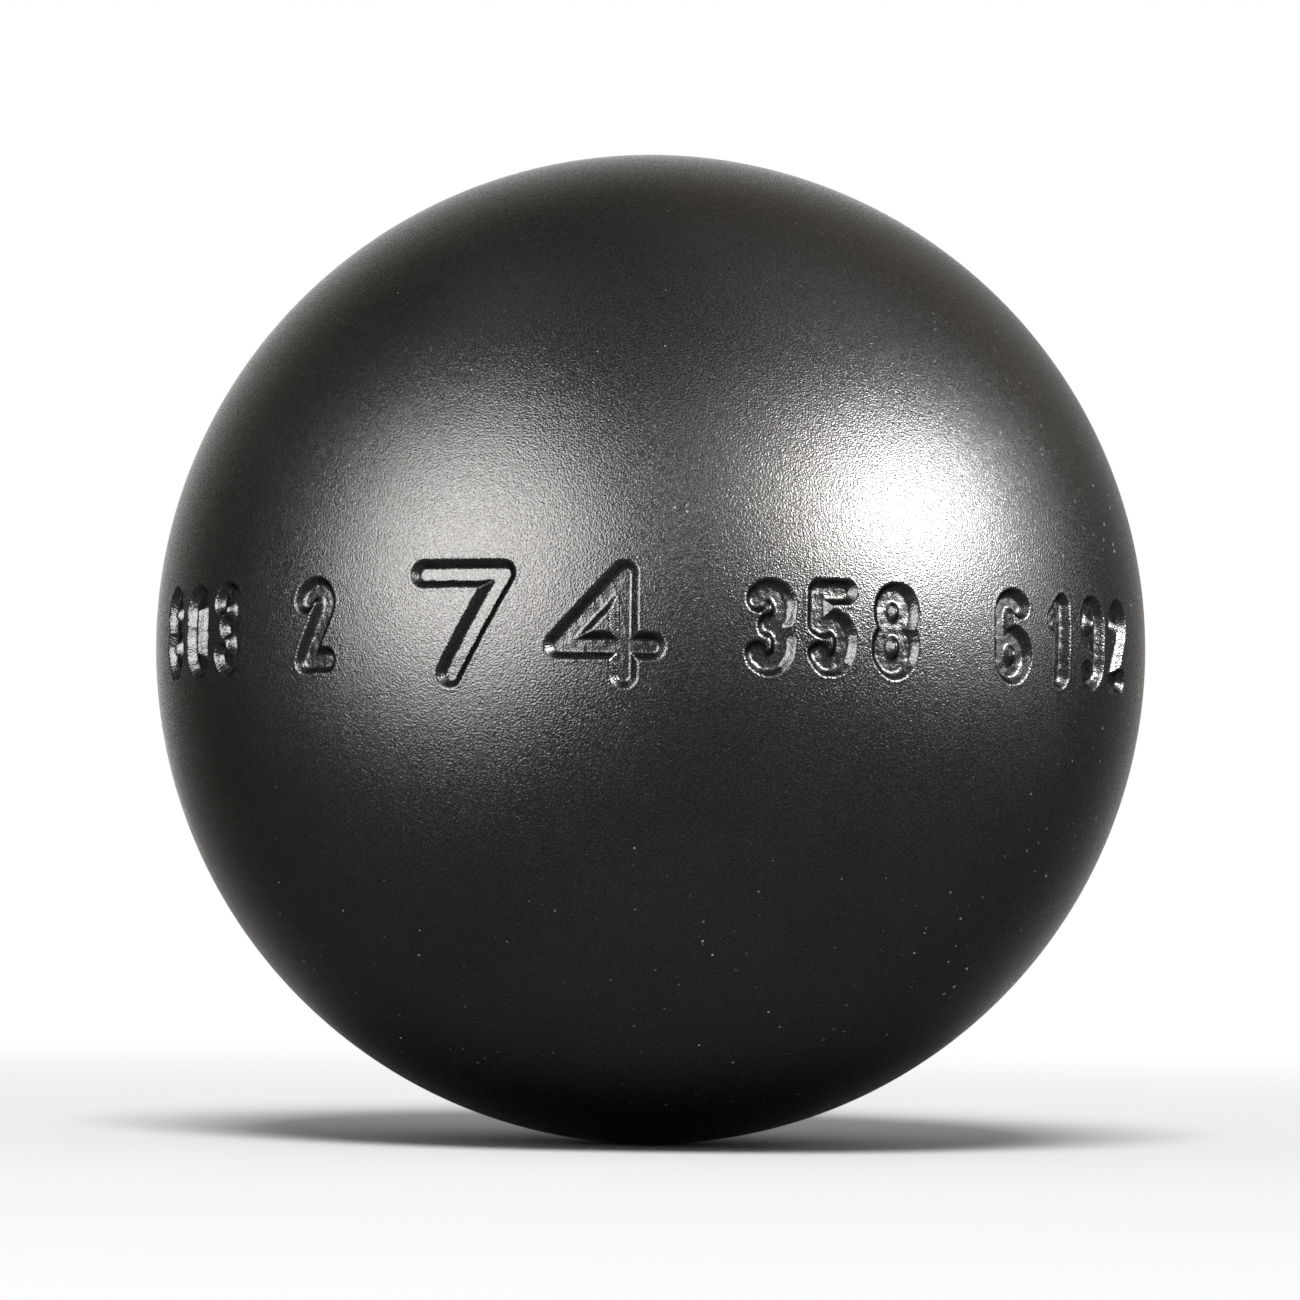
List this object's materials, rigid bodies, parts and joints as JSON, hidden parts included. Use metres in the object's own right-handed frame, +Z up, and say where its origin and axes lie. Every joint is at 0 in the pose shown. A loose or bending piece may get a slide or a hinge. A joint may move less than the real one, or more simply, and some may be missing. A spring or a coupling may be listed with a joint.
{
  "type": "petanque boule",
  "caption": "Hollow steel throwing ball with a smooth satin black finish, made of pressed half shells joined by a weld turned flush with the outside.",
  "frame": {"origin": "centre of the ball", "axes": "+Y along the axis through both half shells, from the front one to the back one; the weld lies in the upright plane Y = 0; +Z up, as in the picture"},
  "size_m": [0.074, 0.074, 0.074],
  "materials": {
    "shell_steel": "satin black, fine even grain",
    "weld_steel": "satin black outside, bare weld inside"
  },
  "bodies": {
    "root": {"front_half_shell": "shell_steel", "back_half_shell": "shell_steel", "weld_bead": "weld_steel"}
  },
  "joints": []
}
